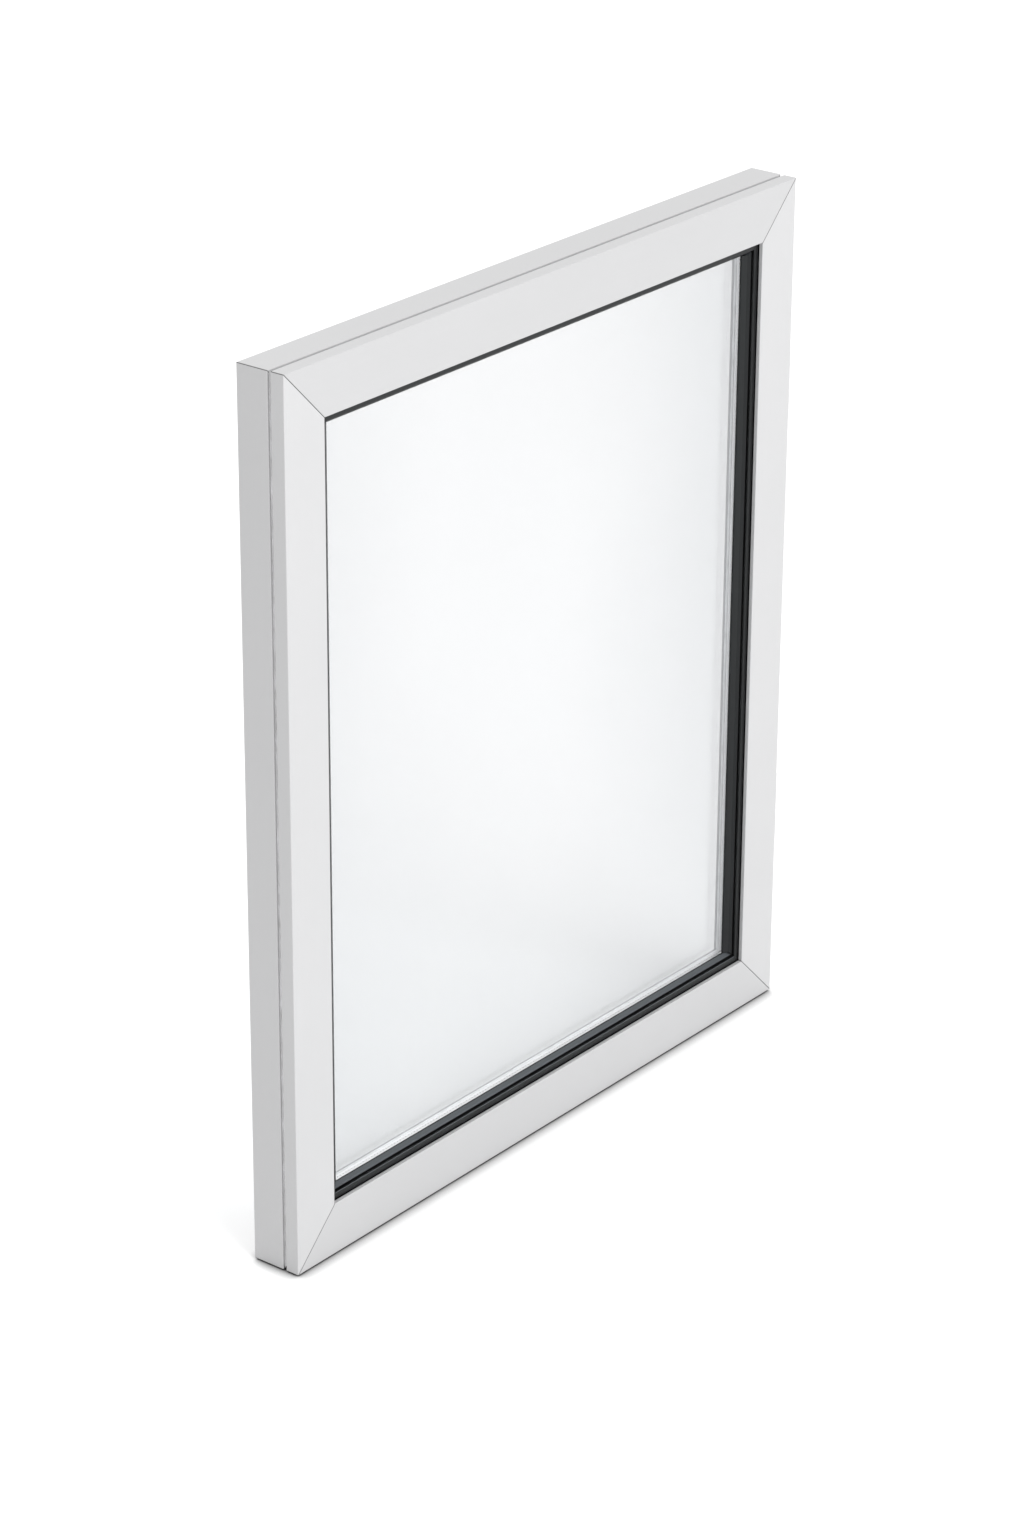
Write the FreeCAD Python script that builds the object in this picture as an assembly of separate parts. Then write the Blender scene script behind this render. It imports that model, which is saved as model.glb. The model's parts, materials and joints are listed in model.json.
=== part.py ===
import FreeCAD, Part
import math
import os

# An outward-opening side-hung casement window. Millimetres. +X is to the right seen from outside,
# +Y points into the room and +Z up. The origin is the middle of the sill's underside.
# Sections are drawn as (inset, depth): inset is measured in from the window's outer edge,
# and depth back from the leaf's outside face.

# Window
WIDTH = 900.0
HEIGHT = 1050.0
DEPTH = 64.0
WALL = 1.8  # thickness of the aluminium extrusions
MITRE_GAP = 0.35  # joint line between two mitred members
MITRE_TURN = 100.0  # inset at which an ordinary mitre ends, beyond every section

# Leaf section
FACE = 63.0  # width of the leaf's outside face
LEAF_BACK = 17.5  # depth of the leaf's front layer, which laps over the whole frame
LIP = 4.8  # depth of the lip round the glass opening
LIP_GROOVE = 2.6  # depth of the fine groove in the lip
LIP_GROOVE_HALF = 0.3
LIP_GROOVE_CUT = 0.4
CHANNEL = 55.0  # inset of the floor of the channel that holds the outer beads
BEAD_SEAT = 16.0  # depth of the channel's back, which the beads rest on
LEAF_TUBE = 32.0  # inset of the leaf tube's outer side
REBATE = 66.0  # inset of the glazing rebate's floor
FLANGE = 74.0  # inset of the rebate's room-side flange
FLANGE_FRONT = 36.5
FLANGE_BACK = 38.5
SPLAY = 56.0  # inset at which the splay meets the room face
LEAF_ROOM = 50.0  # depth of the leaf's room face

# Frame section
FRAME_FRONT = 22.0
FRAME_TUBE = 20.0
STOP = 40.0  # inset of the stop leg
STOP_FRONT = 53.0

# Glazing
SIGHT_STILE = 83.0  # inset of the visible glass edge on the stiles
SIGHT_RAIL = 77.0
GLASS_EDGE = 69.0
PANE = 4.0
PANE_FRONT = 17.5
CAVITY = 8.0
ARRIS = 0.5  # chamfer round each pane
SPACER_OUT = 71.0
SPACER_IN = 75.0
INNER_PANE_FRONT = PANE_FRONT + PANE + CAVITY
GLASS_BACK = INNER_PANE_FRONT + PANE

# Hinges
HINGE_X = WIDTH / 2 + 7.0
HINGE_DEPTH = 29.0
HINGE_HEIGHTS = {"lower": 250.0, "upper": 800.0}
HINGE_LENGTH = 90.0
KNUCKLE_RADIUS = 6.5
PIN_RADIUS = 4.0
BUSH_RADIUS = 5.2
RUNNING = 0.05  # radial clearance of a running fit
WING = 3.0  # thickness of the hinge wings

# Limiter stay: the arm is as long as the leaf pivot's distance from the hinge, and its track lies
# on the line through the hinge axis, so that it turns at exactly twice the leaf's angle.
STAY_RADIUS = 250.0
STAY_PIVOT_X = HINGE_X - STAY_RADIUS
STAY_SLIDER_X = HINGE_X - 2 * STAY_RADIUS
TRACK_START = -80.0
TRACK_END = 400.0
TRACK_TOP = 25.0
TRACK_SCREW_INSET = 7.5  # from either end of the track, out of the shoe's reach
ARM_BOTTOM = 26.6
ARM_TOP = 28.6
BRACKET_BOTTOM = 28.9

# Lock
HANDLE_INSET = 50.0
HANDLE_X = -WIDTH / 2 + HANDLE_INSET
HANDLE_Z = 525.0
MODULE = 1.0
PINION_TEETH = 18
PINION_RADIUS = MODULE * PINION_TEETH / 2
GEAR_FRONT = 30.0
GEAR_BACK = 42.0
RAIL_TRAVEL = PINION_RADIUS * math.pi / 2
RAIL_OUT = 29.2  # insets of the drive rail
RAIL_IN = 31.7
RAIL_DEPTHS = (28.0, 44.0)
RAIL_START = 150.0
RAIL_END = 900.0
CAM_HEIGHTS = {"lower": 200.0, "middle": 440.0, "upper": 850.0}
CAM_RADIUS = 4.0
CAM_DEPTH = 36.0
CAM_TIP = 22.6

# Wall fixings: through-holes in the sill and the hinge-side jamb
FIXING_PLACES = {"bottom": (-300.0, 300.0), "right": (150.0, 900.0)}
FIXING_DEPTH = 43.0
FIXING_RADIUS = 4.0
SCREW_RADIUS = 2.1
SCREW_HEAD = 4.0
SCREW_HEAD_DEPTH = 2.2
SCREW_SLACK = 0.1

SIDES = ("bottom", "top", "left", "right")
X = FreeCAD.Vector(1, 0, 0)
Y = FreeCAD.Vector(0, 1, 0)
Z = FreeCAD.Vector(0, 0, 1)


# Places and simple solids


def y_at(depth):
    return depth - DEPTH / 2


def spot(side, along, inset, depth):
    """The point this far along a side of the window, at this inset and depth."""
    if side == "bottom":
        return FreeCAD.Vector(along, y_at(depth), inset)
    if side == "top":
        return FreeCAD.Vector(along, y_at(depth), HEIGHT - inset)
    if side == "left":
        return FreeCAD.Vector(-WIDTH / 2 + inset, y_at(depth), along)
    return FreeCAD.Vector(WIDTH / 2 - inset, y_at(depth), along)


def side_ends(side):
    if side in ("bottom", "top"):
        return -WIDTH / 2, WIDTH / 2
    return 0.0, HEIGHT


def block(side, along, inset, depth):
    """A box between two values each of along, inset and depth."""
    first = spot(side, along[0], inset[0], depth[0])
    last = spot(side, along[1], inset[1], depth[1])
    low = FreeCAD.Vector(min(first.x, last.x), min(first.y, last.y), min(first.z, last.z))
    size = FreeCAD.Vector(abs(last.x - first.x), abs(last.y - first.y), abs(last.z - first.z))
    return Part.makeBox(size.x, size.y, size.z, low)


def rod(start, end, radius):
    return Part.makeCylinder(radius, (end - start).Length, start, end - start)


def hexagon(start, end, radius):
    """A six-sided bar between two points, for the socket in a screw's head."""
    axis = end - start
    across = axis.cross(Z) if axis.cross(Z).Length > 0.1 else axis.cross(X)
    across.normalize()
    other = axis.cross(across)
    other.normalize()
    corners = []
    for corner in range(6):
        angle = math.radians(60 * corner)
        corners.append(start + across * (radius * math.cos(angle)) + other * (radius * math.sin(angle)))
    return Part.Face(Part.makePolygon(corners + [corners[0]])).extrude(axis)


def polygon_solid(points, direction):
    return Part.Face(Part.makePolygon(points + [points[0]])).extrude(direction)


def group(solids):
    return Part.makeCompound(list(solids))


def corner_arc(before, here, after, radius):
    """Start, middle and end of the arc that rounds a corner of an outline."""
    to_before = (before - here).normalize()
    to_after = (after - here).normalize()
    half = to_before.getAngle(to_after) / 2
    cut = radius / math.tan(half)
    bulge = (to_before + to_after).normalize() * (radius / math.sin(half) - radius)
    return here + to_before * cut, here + bulge, here + to_after * cut


def outline_wire(corners, place):
    """A closed wire through (a, b) or (a, b, radius) corners, put in space by place(a, b)."""
    flat = [FreeCAD.Vector(corner[0], corner[1], 0) for corner in corners]
    stretches = []
    for i, corner in enumerate(corners):
        if len(corner) == 2:
            stretches.append((flat[i], None, flat[i]))
        else:
            after = flat[(i + 1) % len(flat)]
            stretches.append(corner_arc(flat[i - 1], flat[i], after, corner[2]))
    edges = []
    for i, (start, middle, end) in enumerate(stretches):
        following = stretches[(i + 1) % len(stretches)][0]
        if middle is not None:
            arc = Part.Arc(place(start.x, start.y), place(middle.x, middle.y), place(end.x, end.y))
            edges.append(arc.toShape())
        edges.append(Part.LineSegment(place(end.x, end.y), place(following.x, following.y)).toShape())
    return Part.Wire(edges)


# Mitred members


def mitre_block(side, turn):
    """What a mitred member may fill: 45 degree ends out to the inset turn, square ends beyond it."""
    start, end = side_ends(side)
    shift = MITRE_GAP / math.sqrt(2)
    reach = MITRE_TURN + 20
    corners = [
        (start - 1 + shift, -1),
        (end + 1 - shift, -1),
        (end - turn - shift, turn),
        (end - turn - shift, reach),
        (start + turn + shift, reach),
        (start + turn + shift, turn),
    ]
    points = [spot(side, along, inset, -1) for along, inset in corners]
    return polygon_solid(points, Y * (DEPTH + 2))


def member(side, outline, hollows=(), turn=MITRE_TURN):
    """An extrusion along one side of the window, mitred at both ends."""
    start, end = side_ends(side)

    def place(inset, depth):
        return spot(side, start, inset, depth)

    section = Part.Face(outline_wire(outline, place))
    for hollow in hollows:
        section = section.cut(Part.Face(outline_wire(hollow, place)))
    bar = section.extrude(spot(side, end, 0, 0) - spot(side, start, 0, 0))
    return bar.common(mitre_block(side, turn)).Solids[0]


def rectangle(insets, depths):
    return [
        (insets[0], depths[0]),
        (insets[1], depths[0]),
        (insets[1], depths[1]),
        (insets[0], depths[1]),
    ]


def ring(insets, depths):
    """Four mitred bars of one rectangular section, right round the window."""
    return group(member(side, rectangle(insets, depths)) for side in SIDES)


def corner_cleats(insets, depths, reach):
    """Four L-shaped blocks that join the hollow members at the corners."""
    outer, inner = insets
    cleats = []
    for sign_x in (-1, 1):
        for base, sign_z in ((0.0, 1), (HEIGHT, -1)):
            corners = [
                (outer, outer),
                (reach, outer),
                (reach, inner),
                (inner, inner),
                (inner, reach),
                (outer, reach),
            ]
            points = []
            for a, b in corners:
                x = sign_x * (WIDTH / 2 - a)
                points.append(FreeCAD.Vector(x, y_at(depths[0]), base + sign_z * b))
            cleats.append(polygon_solid(points, Y * (depths[1] - depths[0])))
    return group(cleats)


# Screws


def screw(head, direction, length, radius=SCREW_RADIUS, head_radius=SCREW_HEAD):
    """A countersunk screw whose flat head face is at head, with a hexagon socket."""
    cone = Part.makeCone(head_radius, radius, SCREW_HEAD_DEPTH, head, direction)
    shank = rod(head + direction * SCREW_HEAD_DEPTH, head + direction * length, radius)
    socket = hexagon(head, head + direction * (SCREW_HEAD_DEPTH * 0.6), radius * 0.75)
    return cone.fuse(shank).cut(socket).removeSplitter()


def screw_hole(head, direction, length, radius=SCREW_RADIUS, head_radius=SCREW_HEAD):
    """The countersunk hole for the same screw."""
    cone = Part.makeCone(
        head_radius + SCREW_SLACK, radius + SCREW_SLACK, SCREW_HEAD_DEPTH, head, direction
    )
    shank = rod(head, head + direction * length, radius + SCREW_SLACK)
    return cone.fuse(shank)


# Outer frame

FRAME_OUTLINE = [
    (0, FRAME_FRONT, 0.8),
    (FRAME_TUBE, FRAME_FRONT, 0.5),
    (FRAME_TUBE, STOP_FRONT),
    (STOP, STOP_FRONT, 0.5),
    (STOP, DEPTH, 0.8),
    (0, DEPTH, 0.8),
]
FRAME_HOLLOWS = [
    rectangle((WALL, FRAME_TUBE - WALL), (FRAME_FRONT + WALL, DEPTH - WALL)),
    rectangle((FRAME_TUBE, STOP - WALL), (STOP_FRONT + WALL, DEPTH - WALL)),
]


def fixing_holes(side):
    """The through-holes that fasten one side of the frame to the wall."""
    holes = []
    for along in FIXING_PLACES[side]:
        start = spot(side, along, -1, FIXING_DEPTH)
        end = spot(side, along, FRAME_TUBE + 1, FIXING_DEPTH)
        holes.append(rod(start, end, FIXING_RADIUS))
    return group(holes)


def frame_member(side):
    bar = member(side, FRAME_OUTLINE, FRAME_HOLLOWS)
    if side in FIXING_PLACES:
        bar = bar.cut(fixing_holes(side))
    if side == "left":
        bar = bar.cut(group(keep_screw_set(screw_hole)))
    if side == "right":
        bar = bar.cut(group(frame_wing_screws(screw_hole)))
    if side == "bottom":
        bar = bar.cut(group(track_screw_set(screw_hole)))
    return bar.Solids[0]


SEAL_CLEAR = 0.3  # each seal stops this short of the leaf
OUTER_SEAL = (2.5, 7.5)  # insets of the two edges of each seal
INNER_SEAL = (33.5, 38.5)


def outer_seal():
    return ring(OUTER_SEAL, (LEAF_BACK + SEAL_CLEAR, FRAME_FRONT))


def inner_seal():
    return ring(INNER_SEAL, (LEAF_ROOM + SEAL_CLEAR, STOP_FRONT))


# Leaf

LEAF_OUTLINE = [
    (0, 0, 1.0),
    (FACE, 0, 0.8),
    (FACE, LIP_GROOVE - LIP_GROOVE_HALF),
    (FACE - LIP_GROOVE_CUT, LIP_GROOVE),
    (FACE, LIP_GROOVE + LIP_GROOVE_HALF),
    (FACE, LIP),
    (CHANNEL, LIP),
    (CHANNEL, BEAD_SEAT),
    (REBATE, BEAD_SEAT),
    (REBATE, FLANGE_FRONT),
    (FLANGE, FLANGE_FRONT, 0.6),
    (FLANGE, FLANGE_BACK, 0.8),
    (SPLAY, LEAF_ROOM, 1.0),
    (LEAF_TUBE, LEAF_ROOM, 0.6),
    (LEAF_TUBE, LEAF_BACK),
    (0, LEAF_BACK, 0.8),
]


SPLAY_SLOPE = (LEAF_ROOM - FLANGE_BACK) / (FLANGE - SPLAY)
SPLAY_INNER = FLANGE_BACK - WALL * math.sqrt(1 + SPLAY_SLOPE**2)  # the splayed wall's inner surface at FLANGE


def splay_depth(inset):
    """Depth of the splayed wall's inner surface at this inset."""
    return SPLAY_INNER + SPLAY_SLOPE * (FLANGE - inset)


def splay_inset(depth):
    """Inset of the splayed wall's inner surface at this depth."""
    return FLANGE - (depth - SPLAY_INNER) / SPLAY_SLOPE


LEAF_HOLLOWS = [
    [
        (WALL, WALL),
        (FACE - WALL, WALL),
        (FACE - WALL, LIP - WALL),
        (CHANNEL - WALL, LIP - WALL),
        (CHANNEL - WALL, LEAF_BACK - WALL),
        (WALL, LEAF_BACK - WALL),
    ],
    [
        (LEAF_TUBE + WALL, LEAF_BACK + WALL),
        (REBATE - WALL, LEAF_BACK + WALL),
        (REBATE - WALL, splay_depth(REBATE - WALL)),
        (splay_inset(LEAF_ROOM - WALL), LEAF_ROOM - WALL),
        (LEAF_TUBE + WALL, LEAF_ROOM - WALL),
    ],
]
RACK_LENGTH = 44.0
SLOT_SPARE = 2.0
SLOT_DEPTHS = (28.6, 43.4)
HUB_RADIUS = 6.0  # the pinion's hub and the spindle's hole in the stile


def lock_cutouts():
    """The rack's slot, the spindle's hole and the handle screws' holes in the lock stile."""
    low = HANDLE_Z - RACK_LENGTH / 2 - SLOT_SPARE
    high = HANDLE_Z + RACK_LENGTH / 2 + RAIL_TRAVEL + SLOT_SPARE
    slot = block("left", (low, high), (LEAF_TUBE - 1, LEAF_TUBE + WALL + 1), SLOT_DEPTHS)
    room = spot("left", HANDLE_Z, HANDLE_INSET, LEAF_ROOM + 1)
    spindle_hole = rod(room - Y * 4, room, HUB_RADIUS)
    return group([slot, spindle_hole, *handle_screw_set(screw_hole)])


def leaf_member(side):
    bar = member(side, LEAF_OUTLINE, LEAF_HOLLOWS)
    if side == "left":
        bar = bar.cut(lock_cutouts())
    if side == "right":
        bar = bar.cut(group(leaf_wing_screws(screw_hole)))
    if side == "bottom":
        bar = bar.cut(group(bracket_screw_set(screw_hole)))
    return bar.Solids[0]


# Glazing


BEAD_SLACK = 0.3  # between the bead's foot and the channel's floor
FOOT_TOP = LIP + 0.5
FOOT_END = FACE - 1.0
FOOT_STEP = LIP + 3.0
RIB_START = 64.2  # insets of the outer bead's rounded rib
RIB_END = 71.0
RIB_TOP = LIP + 0.6
RIB_LEAN = 0.4
RIB_UNDERCUT = 0.2
GROOVE_END = 72.8
GROOVE_DEPTH = 12.0
SLOPE_TOP = 8.2
SLOPE_BREAK = 0.35  # how far along the slope it turns shallower
BEAD_TIP = 0.8  # thickness at the sightline


def outer_bead(side):
    """Black bead clipped in the leaf's channel: a foot, a rounded rib, a groove and a two-part slope."""
    sight = SIGHT_STILE if side in ("left", "right") else SIGHT_RAIL
    tip = BEAD_SEAT - BEAD_TIP
    break_inset = GROOVE_END + SLOPE_BREAK * (sight - GROOVE_END)
    break_depth = (SLOPE_TOP + tip) / 2
    outline = [
        (CHANNEL + BEAD_SLACK, FOOT_TOP),
        (FOOT_END, FOOT_TOP),
        (FOOT_END, FOOT_STEP),
        (RIB_START, FOOT_STEP),
        (RIB_START, RIB_TOP, 0.9),
        (RIB_END, RIB_TOP + RIB_LEAN, 1.2),
        (RIB_END + RIB_UNDERCUT, GROOVE_DEPTH),
        (GROOVE_END, GROOVE_DEPTH),
        (GROOVE_END, SLOPE_TOP, 0.4),
        (break_inset, break_depth),
        (sight, tip, 0.4),
        (sight, BEAD_SEAT),
        (CHANNEL + BEAD_SLACK, BEAD_SEAT),
    ]
    return member(side, outline, turn=SIGHT_RAIL)


def outer_gasket():
    strips = []
    for side in SIDES:
        sight = SIGHT_STILE if side in ("left", "right") else SIGHT_RAIL
        outline = rectangle((GLASS_EDGE + 1, sight), (BEAD_SEAT, PANE_FRONT))
        strips.append(member(side, outline, turn=SIGHT_RAIL))
    return group(strips)


def pane(front):
    size_x = WIDTH - 2 * GLASS_EDGE
    size_z = HEIGHT - 2 * GLASS_EDGE
    glass = Part.makeBox(size_x, PANE, size_z, FreeCAD.Vector(-size_x / 2, y_at(front), GLASS_EDGE))
    return glass.makeChamfer(ARRIS, glass.Edges)


BLOCK_HALF = 40.0


def setting_blocks():
    """Packers between the glass unit's edge and the rebate's floor."""
    blocks = []
    for side in SIDES:
        start, end = side_ends(side)
        middle = (start + end) / 2
        quarter = (end - start) / 4
        for centre in (middle - quarter, middle + quarter):
            reach = (centre - BLOCK_HALF, centre + BLOCK_HALF)
            blocks.append(block(side, reach, (REBATE, GLASS_EDGE), (PANE_FRONT, GLASS_BACK)))
    return group(blocks)


# Hinges

LEAF_KNUCKLE = HINGE_LENGTH / 3
KNUCKLE_GAP = 0.3
FRAME_WING_DEPTHS = (37.0, 60.0)
LEAF_WING_DEPTHS = (2.0, 15.5)
FRAME_SCREW_DEPTH = 50.0
LEAF_SCREW_DEPTH = 8.5
WING_SCREW_OFFSETS = (-30.0, 0.0, 30.0)
WING_SCREW_LENGTH = 12.0
WEB_CLEAR = 0.5  # between a knuckle's web and the window's side face
PIN_CAP = 1.5
PIN_CAP_RADIUS = KNUCKLE_RADIUS - 1


def axis_point(height):
    return FreeCAD.Vector(HINGE_X, y_at(HINGE_DEPTH), height)


def knuckle(low, high):
    return rod(axis_point(low), axis_point(high), KNUCKLE_RADIUS)


def wing_plate(low, high, depths):
    """A plate on the window's side face."""
    return block("right", (low, high), (-WING, 0), depths)


def knuckle_arm(low, high, depths):
    """The web between a wing and its knuckle, clear of the window's side face."""
    return block("right", (low, high), (-(HINGE_X - WIDTH / 2), -WEB_CLEAR), depths)


def wing_screw_places(centre, depth):
    for offset in WING_SCREW_OFFSETS:
        yield spot("right", centre + offset, -WING, depth)


def frame_wing_screws(make):
    screws = []
    for centre in HINGE_HEIGHTS.values():
        for place in wing_screw_places(centre, FRAME_SCREW_DEPTH):
            screws.append(make(place, X * -1, WING_SCREW_LENGTH))
    return screws


def leaf_wing_screws(make):
    screws = []
    for centre in HINGE_HEIGHTS.values():
        for place in wing_screw_places(centre, LEAF_SCREW_DEPTH):
            screws.append(make(place, X * -1, WING_SCREW_LENGTH))
    return screws


def frame_wing(centre):
    low = centre - HINGE_LENGTH / 2
    high = centre + HINGE_LENGTH / 2
    wing = wing_plate(low, high, FRAME_WING_DEPTHS)
    for start, end in ((low, centre - LEAF_KNUCKLE / 2), (centre + LEAF_KNUCKLE / 2, high)):
        web = knuckle_arm(start, end, (HINGE_DEPTH + 2, FRAME_WING_DEPTHS[0] + WING))
        relief = (HINGE_DEPTH, FRAME_WING_DEPTHS[0])
        web = web.cut(block("right", (start, end), (-WEB_CLEAR - 0.1, 0), relief))
        wing = wing.fuse([knuckle(start, end), web])
    wing = wing.cut(rod(axis_point(low - 1), axis_point(high + 1), PIN_RADIUS))
    wing = wing.cut(group(frame_wing_screws(screw_hole)))
    return wing.removeSplitter().Solids[0]


def leaf_wing(centre):
    low = centre - HINGE_LENGTH / 2
    high = centre + HINGE_LENGTH / 2
    start = centre - LEAF_KNUCKLE / 2 + KNUCKLE_GAP
    end = centre + LEAF_KNUCKLE / 2 - KNUCKLE_GAP
    wing = wing_plate(low, high, LEAF_WING_DEPTHS)
    web = knuckle_arm(start, end, (LEAF_WING_DEPTHS[1] - 2.5, HINGE_DEPTH - 2))
    wing = wing.fuse([knuckle(start, end), web])
    wing = wing.cut(rod(axis_point(start - 1), axis_point(end + 1), BUSH_RADIUS))
    wing = wing.cut(group(leaf_wing_screws(screw_hole)))
    return wing.removeSplitter().Solids[0]


def hinge_pin(centre):
    low = centre - HINGE_LENGTH / 2
    high = centre + HINGE_LENGTH / 2
    shaft = rod(axis_point(low), axis_point(high), PIN_RADIUS)
    foot = rod(axis_point(low - PIN_CAP), axis_point(low), PIN_CAP_RADIUS)
    cap = rod(axis_point(high), axis_point(high + PIN_CAP), PIN_CAP_RADIUS)
    return shaft.fuse([foot, cap]).removeSplitter()


def hinge_bushes():
    bushes = []
    for centre in HINGE_HEIGHTS.values():
        start = axis_point(centre - LEAF_KNUCKLE / 2 + KNUCKLE_GAP)
        end = axis_point(centre + LEAF_KNUCKLE / 2 - KNUCKLE_GAP)
        bushes.append(rod(start, end, BUSH_RADIUS).cut(rod(start, end, PIN_RADIUS + RUNNING)))
    return group(bushes)


# Limiter stay

STAY_PIN = 3.0
SLIDER_PIN = 2.2
ARM_HALF = 7.0
TRACK_FLOOR = FRAME_TUBE + 1.2
TRACK_LIP = 24.0  # underside of the track's lips
TRACK_HALVES = (6.0, 4.8, 2.8)  # half widths of the track, its room and its slot
TRACK_SCREW = 1.6
TRACK_SCREW_HEAD = 3.0
SHOE_HALF_LENGTH = 15.0
SHOE_HALF_WIDTH = 4.5
SHOE_HEIGHTS = (21.5, 23.7)
BRACKET_HALF = 28.0
BRACKET_SCREW_OFFSET = 22.0


def stay_point(x, z):
    return FreeCAD.Vector(x, y_at(HINGE_DEPTH), z)


def track_screw_set(make):
    places = (TRACK_START + TRACK_SCREW_INSET, TRACK_END - TRACK_SCREW_INSET)
    return [make(stay_point(x, TRACK_FLOOR), Z * -1, 14.0, TRACK_SCREW, TRACK_SCREW_HEAD) for x in places]


def track_bar(heights, half):
    """A bar as long as the track, between two heights."""
    return block("bottom", (TRACK_START, TRACK_END), heights, (HINGE_DEPTH - half, HINGE_DEPTH + half))


def stay_track():
    """A C-shaped track on the sill: floor, two walls and two lips."""
    outer_half, room_half, slot_half = TRACK_HALVES
    outer = track_bar((FRAME_TUBE, TRACK_TOP), outer_half)
    room = track_bar((TRACK_FLOOR, TRACK_LIP), room_half)
    slot = track_bar((TRACK_LIP - 1, TRACK_TOP + 1), slot_half)
    track = outer.cut(room).cut(slot)
    for x in (TRACK_START + TRACK_SCREW_INSET, TRACK_END - TRACK_SCREW_INSET):
        access = rod(stay_point(x, TRACK_FLOOR + 0.8), stay_point(x, TRACK_TOP + 1), TRACK_SCREW_HEAD + 0.4)
        track = track.cut(access)
    return track.cut(group(track_screw_set(track_screw_hole))).Solids[0]


def track_screw_hole(head, direction, length, radius, head_radius):
    """A plain hole through the track's thin floor."""
    return rod(head, head + direction * length, radius + SCREW_SLACK)


def track_screw(head, direction, length, radius, head_radius):
    """A pan-head screw that stands on the track's floor."""
    top = head - direction * radius
    body = rod(top, head, head_radius).fuse(rod(head, head + direction * length, radius))
    return body.cut(hexagon(top, top + direction * 1.0, radius * 0.8)).removeSplitter()


def bar_with_round_ends(first, last, half, bottom, top):
    """A flat bar between two upright axes."""
    low_first = stay_point(first, bottom)
    low_last = stay_point(last, bottom)
    rise = Z * (top - bottom)
    slab = Part.makeBox(abs(last - first), 2 * half, top - bottom, low_first - Y * half)
    return slab.fuse([rod(low_first, low_first + rise, half), rod(low_last, low_last + rise, half)])


def stay_arm():
    arm = bar_with_round_ends(STAY_SLIDER_X, STAY_PIVOT_X, ARM_HALF, ARM_BOTTOM, ARM_TOP)
    for x, radius in ((STAY_SLIDER_X, SLIDER_PIN), (STAY_PIVOT_X, STAY_PIN)):
        hole = rod(stay_point(x, ARM_BOTTOM - 1), stay_point(x, ARM_TOP + 1), radius + RUNNING)
        arm = arm.cut(hole)
    return arm.removeSplitter().Solids[0]


def stay_slider():
    """A block in the track with the pin and head that carry the arm."""
    reach = (STAY_SLIDER_X - SHOE_HALF_LENGTH, STAY_SLIDER_X + SHOE_HALF_LENGTH)
    depths = (HINGE_DEPTH - SHOE_HALF_WIDTH, HINGE_DEPTH + SHOE_HALF_WIDTH)
    shoe = block("bottom", reach, SHOE_HEIGHTS, depths)
    pin = rod(stay_point(STAY_SLIDER_X, 23.5), stay_point(STAY_SLIDER_X, 29.0), SLIDER_PIN)
    head = rod(stay_point(STAY_SLIDER_X, 28.9), stay_point(STAY_SLIDER_X, 30.4), 4.0)
    return shoe.fuse([pin, head]).removeSplitter()


def bracket_screw_set(make):
    places = (STAY_PIVOT_X - BRACKET_SCREW_OFFSET, STAY_PIVOT_X + BRACKET_SCREW_OFFSET)
    return [make(stay_point(x, BRACKET_BOTTOM), Z, 12.0) for x in places]


def stay_bracket():
    bracket = bar_with_round_ends(
        STAY_PIVOT_X - BRACKET_HALF, STAY_PIVOT_X + BRACKET_HALF, 8.0, BRACKET_BOTTOM, LEAF_TUBE
    )
    hole = rod(stay_point(STAY_PIVOT_X, BRACKET_BOTTOM), stay_point(STAY_PIVOT_X, LEAF_TUBE), STAY_PIN)
    return bracket.cut(hole).cut(group(bracket_screw_set(screw_hole))).removeSplitter().Solids[0]


def stay_rivet():
    shank = rod(stay_point(STAY_PIVOT_X, 26.0), stay_point(STAY_PIVOT_X, LEAF_TUBE), STAY_PIN)
    head = rod(stay_point(STAY_PIVOT_X, 25.4), stay_point(STAY_PIVOT_X, 26.4), 5.0)
    return shank.fuse(head).removeSplitter()


# Lock: handle, spindle, pinion, rack rail, cams and keeps

BASE_HALF_WIDTH = 6.8
BASE_HALF_HEIGHT = 34.0
BASE_BACK = 58.0
HANDLE_SCREW_OFFSET = 24.0
JOURNAL = 5.5
SPINDLE_HALF = 3.5
NECK_RADIUS = 7.0
SOCKET_END = 74.0  # depth the spindle reaches inside the lever
GRIP_FRONT = 79.0
GRIP_BACK = 90.0
GRIP_LENGTH = 100.0
GRIP_ROUND = 3.0
HUB_DEPTHS = (27.6, 44.0)
BACKLASH = 0.25
PRESSURE_ANGLE = math.radians(20)


def handle_point(depth, dx=0.0, dz=0.0):
    return FreeCAD.Vector(HANDLE_X + dx, y_at(depth), HANDLE_Z + dz)


def handle_screw_set(make):
    places = (-HANDLE_SCREW_OFFSET, HANDLE_SCREW_OFFSET)
    return [make(handle_point(BASE_BACK, dz=dz), Y * -1, 22.0) for dz in places]


def handle_base():
    corners = [
        (-BASE_HALF_WIDTH, -BASE_HALF_HEIGHT, 5.5),
        (BASE_HALF_WIDTH, -BASE_HALF_HEIGHT, 5.5),
        (BASE_HALF_WIDTH, BASE_HALF_HEIGHT, 5.5),
        (-BASE_HALF_WIDTH, BASE_HALF_HEIGHT, 5.5),
    ]
    wire = outline_wire(corners, lambda dx, dz: handle_point(LEAF_ROOM, dx, dz))
    base = Part.Face(wire).extrude(Y * (BASE_BACK - LEAF_ROOM))
    base = base.makeFillet(1.2, [edge for edge in base.Edges if at_depth(edge, BASE_BACK)])
    base = base.cut(rod(handle_point(LEAF_ROOM - 1), handle_point(BASE_BACK + 1), JOURNAL + RUNNING))
    return base.cut(group(handle_screw_set(screw_hole))).Solids[0]


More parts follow.
